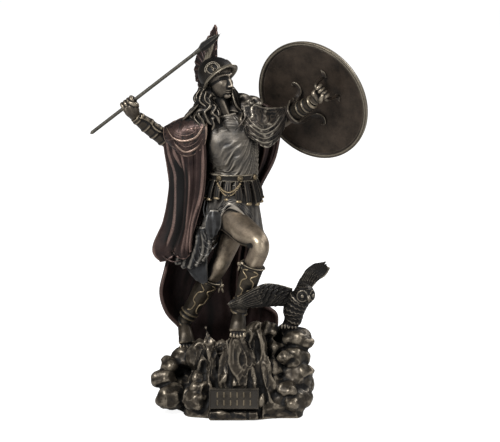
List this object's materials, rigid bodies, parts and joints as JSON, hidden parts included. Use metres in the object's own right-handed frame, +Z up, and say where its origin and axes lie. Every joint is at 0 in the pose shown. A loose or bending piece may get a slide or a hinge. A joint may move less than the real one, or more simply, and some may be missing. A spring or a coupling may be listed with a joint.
{
  "type": "athena statuette",
  "caption": "Cold-cast bronze statuette of a helmeted goddess striding with spear and raised shield, an owl beside her, on a rocky base.",
  "frame": {"origin": "middle of the flat underside of the rock base", "axes": "+Z up, the figure faces -Y, the raised shield arm is towards +X"},
  "size_m": [0.2416, 0.1151, 0.3395],
  "materials": {
    "bronze": "antiqued bonded bronze, dark in the hollows and rubbed bright on the ridges",
    "dark_bronze": "dark brown bonded bronze, satin"
  },
  "bodies": {
    "root": {"figure": "bronze", "spear": "bronze", "shield": "dark_bronze", "owl": "dark_bronze", "rock_base": "bronze"}
  },
  "joints": []
}
